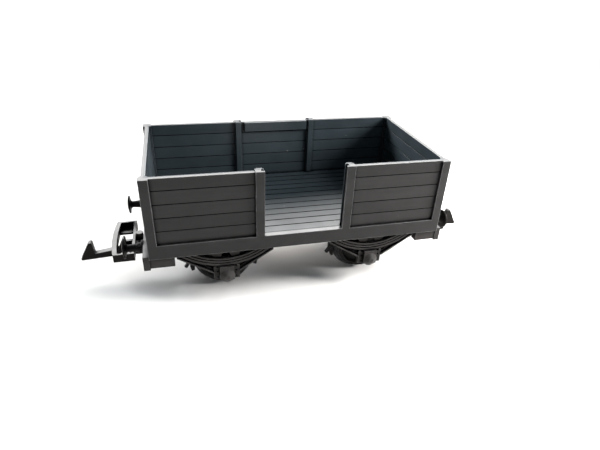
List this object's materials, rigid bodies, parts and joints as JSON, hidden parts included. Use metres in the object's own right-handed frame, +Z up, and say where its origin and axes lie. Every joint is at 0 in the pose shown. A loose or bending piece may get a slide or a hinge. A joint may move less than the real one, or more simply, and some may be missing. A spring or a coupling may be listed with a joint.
{
  "type": "model railway open wagon",
  "caption": "Open plank-sided model goods wagon with one lift-out side door, leaf-sprung axle guards, buffers and swinging hook-and-loop couplers.",
  "frame": {"origin": "on the ground under the middle of the wagon, level with the bottoms of the wheel flanges", "axes": "+X along the wagon towards the right-hand end, +Y across it towards the side whose door is fitted, +Z up"},
  "size_m": [0.256, 0.0892, 0.082],
  "materials": {
    "body_plastic": "moulded plank texture, satin grey",
    "frame_plastic": "moulded satin brown-black",
    "coupler_plastic": "tough moulded plastic, satin",
    "wheel_plastic": "moulded, treads polished by running",
    "steel": "drawn steel"
  },
  "bodies": {
    "wagon": {"axlebox_far_left": "frame_plastic", "axlebox_far_right": "frame_plastic", "axlebox_near_left": "frame_plastic", "axlebox_near_right": "frame_plastic", "body_screws": "steel", "brake_shoe_far_left_inner": "frame_plastic", "brake_shoe_far_left_outer": "frame_plastic", "brake_shoe_far_right_inner": "frame_plastic", "brake_shoe_far_right_outer": "frame_plastic", "brake_shoe_near_left_inner": "frame_plastic", "brake_shoe_near_left_outer": "frame_plastic", "brake_shoe_near_right_inner": "frame_plastic", "brake_shoe_near_right_outer": "frame_plastic", "buffer_far_left": "frame_plastic", "buffer_far_right": "frame_plastic", "buffer_near_left": "frame_plastic", "buffer_near_right": "frame_plastic", "chassis_frame": "frame_plastic", "coupler_bracket_left": "frame_plastic", "coupler_bracket_right": "frame_plastic", "coupler_pivot_left": "coupler_plastic", "coupler_pivot_right": "coupler_plastic", "far_side": "body_plastic", "floor_deck": "body_plastic", "leaf_spring_far_left": "frame_plastic", "leaf_spring_far_right": "frame_plastic", "leaf_spring_near_left": "frame_plastic", "leaf_spring_near_right": "frame_plastic", "left_end": "body_plastic", "left_headstock": "frame_plastic", "near_side": "body_plastic", "right_end": "body_plastic", "right_headstock": "frame_plastic", "solebar_end_far_left": "frame_plastic", "solebar_end_far_right": "frame_plastic", "solebar_end_near_left": "frame_plastic", "solebar_end_near_right": "frame_plastic", "w_iron_far_left": "frame_plastic", "w_iron_far_right": "frame_plastic", "w_iron_near_left": "frame_plastic", "w_iron_near_right": "frame_plastic"},
    "side_door": {"side_door": "body_plastic"},
    "wheelset_left": {"axle_left": "steel", "wheel_near_left": "wheel_plastic", "wheel_far_left": "wheel_plastic"},
    "coupler_left": {"coupler_loop_left": "coupler_plastic", "hook_pin_left": "steel", "hook_spring_left": "steel"},
    "hook_left": {"coupler_hook_left": "coupler_plastic"},
    "wheelset_right": {"axle_right": "steel", "wheel_near_right": "wheel_plastic", "wheel_far_right": "wheel_plastic"},
    "coupler_right": {"coupler_loop_right": "coupler_plastic", "hook_pin_right": "steel", "hook_spring_right": "steel"},
    "hook_right": {"coupler_hook_right": "coupler_plastic"}
  },
  "joints": [
    {"name": "side_door_lift", "type": "slide", "parent": "wagon", "child": "side_door", "axis": [0, 0, 1], "range_m": [0, 0.037]},
    {"name": "wheelset_left_spin", "type": "hinge", "parent": "wagon", "child": "wheelset_left", "pos_m": [-0.044, 0, 0.018], "axis": [0, 1, 0], "continuous": true},
    {"name": "coupler_left_swing", "type": "hinge", "parent": "wagon", "child": "coupler_left", "pos_m": [-0.0926, 0, 0.0195], "axis": [0, 0, 1], "range_deg": [-12, 12]},
    {"name": "hook_left_dip", "type": "hinge", "parent": "coupler_left", "child": "hook_left", "pos_m": [-0.1002, 0, 0.0174], "axis": [0, -1, 0], "range_deg": [0, 12], "stiffness_Nm_per_rad": 0.003, "springref_deg": -8.59, "deforming": ["hook_spring_left"]},
    {"name": "wheelset_right_spin", "type": "hinge", "parent": "wagon", "child": "wheelset_right", "pos_m": [0.044, 0, 0.018], "axis": [0, 1, 0], "continuous": true},
    {"name": "coupler_right_swing", "type": "hinge", "parent": "wagon", "child": "coupler_right", "pos_m": [0.0926, 0, 0.0195], "axis": [0, 0, 1], "range_deg": [-12, 12]},
    {"name": "hook_right_dip", "type": "hinge", "parent": "coupler_right", "child": "hook_right", "pos_m": [0.1002, 0, 0.0174], "axis": [0, 1, 0], "range_deg": [0, 12], "stiffness_Nm_per_rad": 0.003, "springref_deg": -8.59, "deforming": ["hook_spring_right"]}
  ]
}
